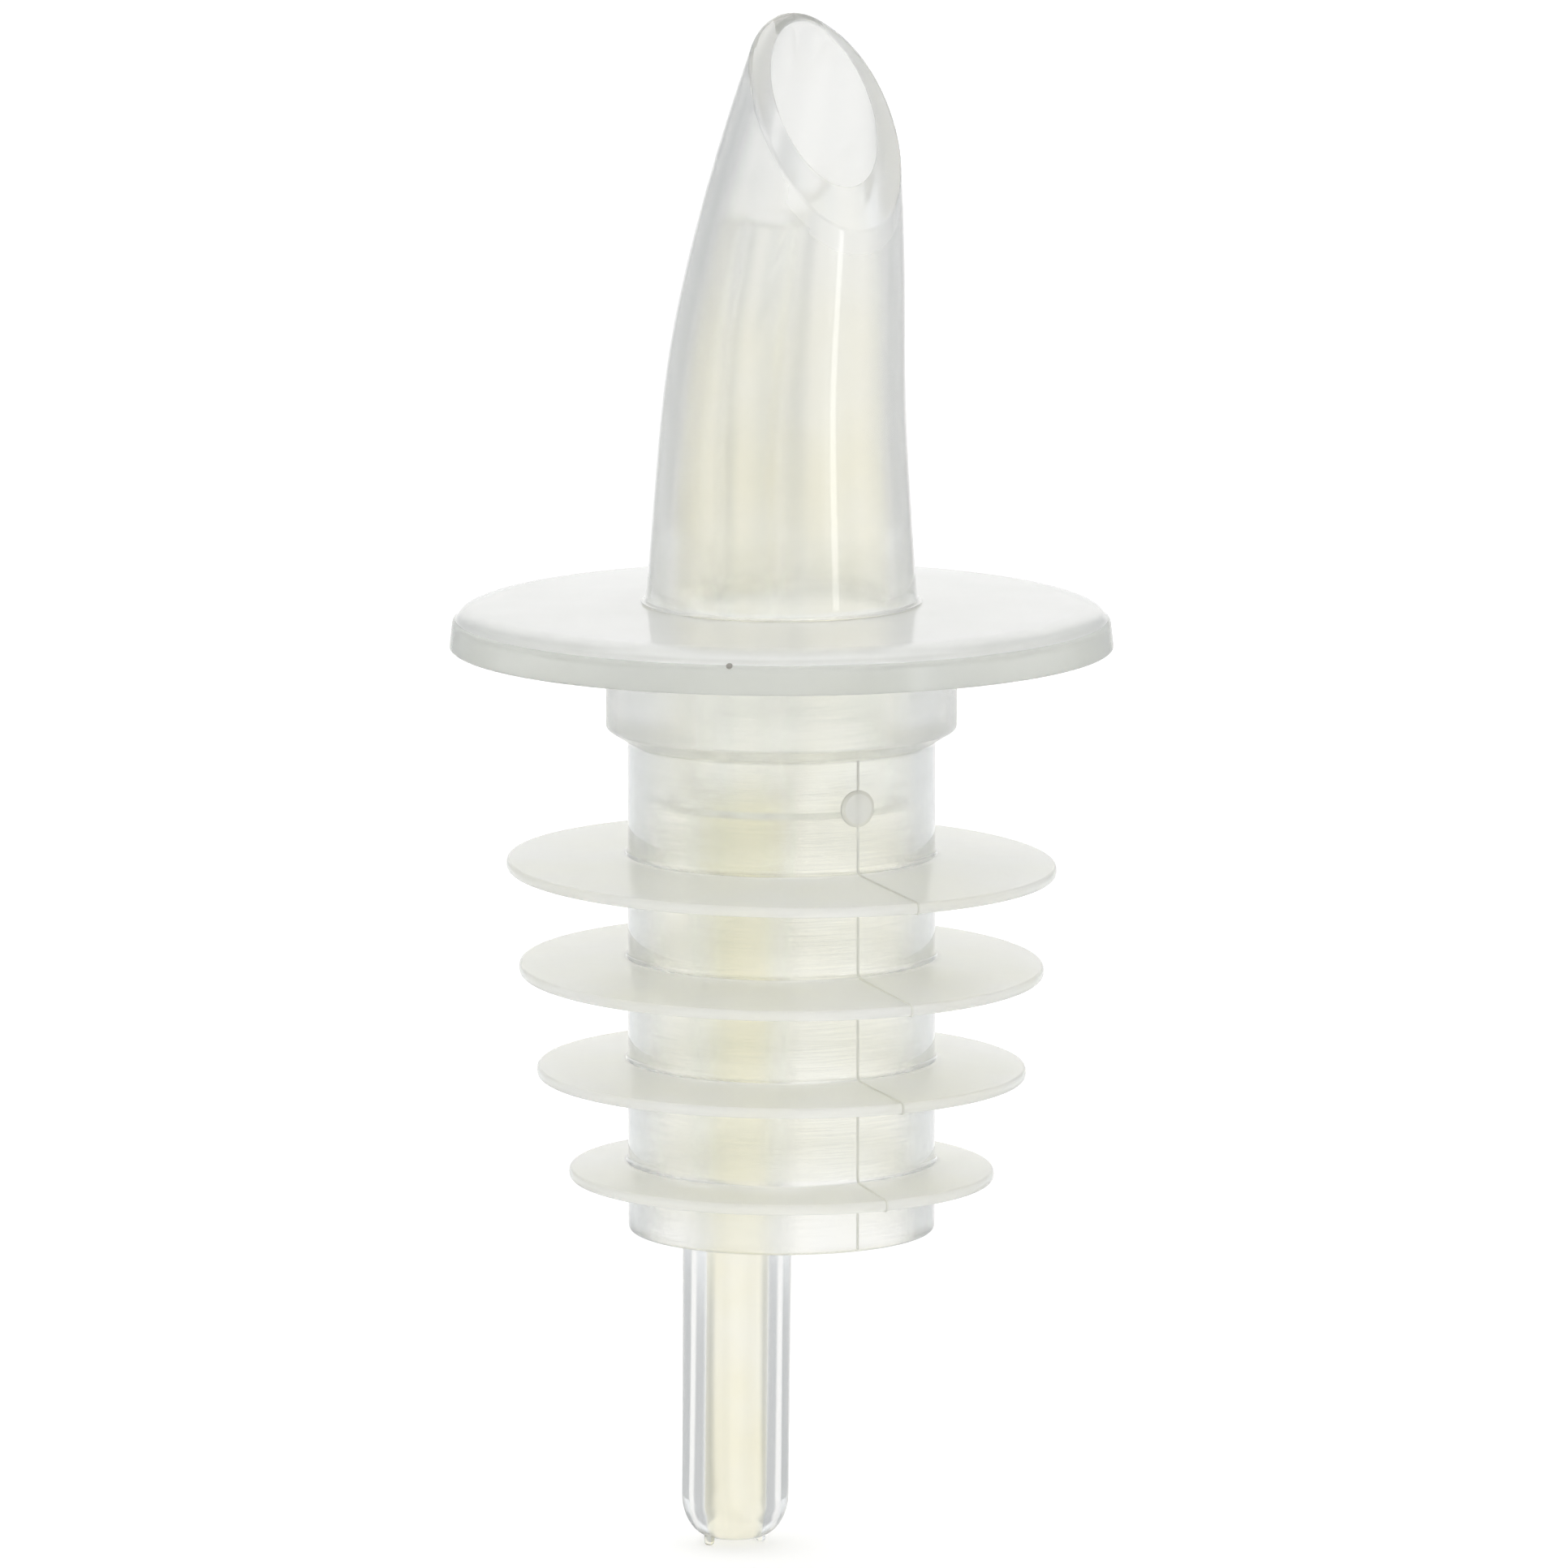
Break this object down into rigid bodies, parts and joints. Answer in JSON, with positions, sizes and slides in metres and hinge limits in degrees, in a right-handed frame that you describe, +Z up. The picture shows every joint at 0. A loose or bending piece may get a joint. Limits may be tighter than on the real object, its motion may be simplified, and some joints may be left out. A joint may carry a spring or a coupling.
{
  "type": "liquor pour spout",
  "caption": "Free-flow bottle pourer in milky translucent plastic: a leaning beak with a slanted mouth, a domed collar, a finned neck stopper and an air tube below.",
  "frame": {"origin": "on the stopper's axis, at the level where the bottle's lip meets the underside of the collar", "axes": "+Z up along the stopper's axis towards the beak's tip, +X the way the beak pours, air tube towards -X"},
  "size_m": [0.032, 0.032, 0.0753],
  "materials": {
    "spout_plastic": "natural translucent polypropylene, polished mould",
    "collar_plastic": "natural translucent polypropylene, polished mould",
    "stopper_plastic": "natural milky polyethylene, satin mould",
    "air_tube_plastic": "natural translucent polyethylene, smooth"
  },
  "bodies": {
    "stopper": {"stopper": "stopper_plastic"},
    "collar": {"collar": "collar_plastic"},
    "spout": {"spout": "spout_plastic", "air_tube": "air_tube_plastic"}
  },
  "joints": [
    {"name": "spout_pull", "type": "slide", "parent": "stopper", "child": "collar", "axis": [0, 0, 1], "range_m": [0, 0.047]},
    {"name": "spout_turn", "type": "hinge", "parent": "collar", "child": "spout", "pos_m": [0, 0, 0], "axis": [0, 0, 1], "continuous": true}
  ]
}
